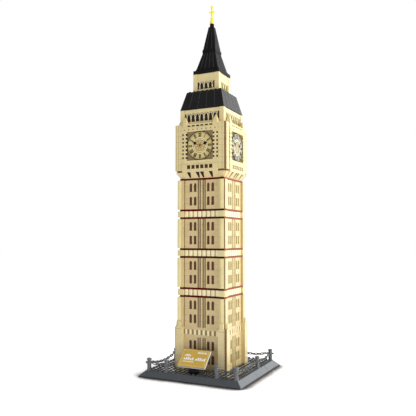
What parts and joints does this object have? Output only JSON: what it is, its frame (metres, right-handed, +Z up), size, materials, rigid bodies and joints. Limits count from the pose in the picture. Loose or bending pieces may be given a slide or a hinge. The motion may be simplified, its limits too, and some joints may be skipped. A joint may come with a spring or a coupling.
{
  "type": "clock tower model",
  "caption": "Desk-size brick-built model of a gothic clock tower with dials, arcades, spire and finial on a chained plinth with a tilting plaque.",
  "frame": {"origin": "centre of the plinth's underside", "axes": "+Z up along the tower, -Y towards the plaque side, +X to the right of a viewer who faces the plaque"},
  "size_m": [0.176, 0.176, 0.626],
  "materials": {
    "tan_brick": "moulded, smooth and glossy",
    "dark_red_brick": "moulded, smooth and glossy",
    "black_brick": "moulded, smooth and glossy",
    "slate_brick": "moulded, smooth and glossy",
    "grey_brick": "moulded, smooth and glossy",
    "chain_plastic": "moulded oval links, smooth",
    "printed_dial": "printed on a smooth round tile",
    "gold_print": "printed on a smooth tile",
    "pale_brick": "moulded, smooth and glossy",
    "yellow_brick": "moulded, smooth and glossy"
  },
  "bodies": {
    "tower": {"balustrade_lower": "tan_brick", "balustrade_middle": "tan_brick", "balustrade_upper": "tan_brick", "belfry": "tan_brick", "buttress_back_left": "tan_brick", "buttress_back_right": "tan_brick", "buttress_front_left": "tan_brick", "buttress_front_right": "tan_brick", "chain_back_left": "chain_plastic", "chain_back_right": "chain_plastic", "chain_front_left": "chain_plastic", "chain_front_right": "chain_plastic", "chain_left_back": "chain_plastic", "chain_left_front": "chain_plastic", "chain_right_back": "chain_plastic", "chain_right_front": "chain_plastic", "clock_case": "tan_brick", "corbel": "tan_brick", "deck": "black_brick", "dial_back": "printed_dial", "dial_front": "printed_dial", "dial_left": "printed_dial", "dial_right": "printed_dial", "eave_upper": "black_brick", "frieze": "tan_brick", "hinge_base": "black_brick", "lantern": "tan_brick", "plinth_slope_back": "slate_brick", "plinth_slope_front": "slate_brick", "plinth_slope_left": "slate_brick", "plinth_slope_right": "slate_brick", "post_back_left": "grey_brick", "post_back_right": "grey_brick", "post_corner_back_left": "grey_brick", "post_corner_back_right": "grey_brick", "post_corner_front_left": "grey_brick", "post_corner_front_right": "grey_brick", "post_entry_left": "grey_brick", "post_entry_right": "grey_brick", "post_side_left": "grey_brick", "post_side_right": "grey_brick", "red_plate_lower_a": "dark_red_brick", "red_plate_lower_b": "dark_red_brick", "red_plate_middle_a": "dark_red_brick", "red_plate_middle_b": "dark_red_brick", "red_plate_top": "dark_red_brick", "red_plate_upper_a": "dark_red_brick", "red_plate_upper_b": "dark_red_brick", "roof_lower": "black_brick", "spire_lower": "black_brick", "spire_upper": "black_brick", "storey_first": "tan_brick", "storey_fourth": "tan_brick", "storey_ground": "tan_brick", "storey_second": "tan_brick", "storey_third": "tan_brick"},
    "plaque": {"hinge_leaf": "black_brick", "plaque_plate": "pale_brick", "plaque_face": "gold_print"},
    "finial": {"finial": "yellow_brick"}
  },
  "joints": [
    {"name": "plaque_tilt", "type": "hinge", "parent": "tower", "child": "plaque", "pos_m": [0, -0.068, 0.0208], "axis": [1, 0, 0], "range_deg": [-45, 45]},
    {"name": "finial_turn", "type": "hinge", "parent": "tower", "child": "finial", "pos_m": [0, 0, 0.592], "axis": [0, 0, 1], "continuous": true}
  ]
}
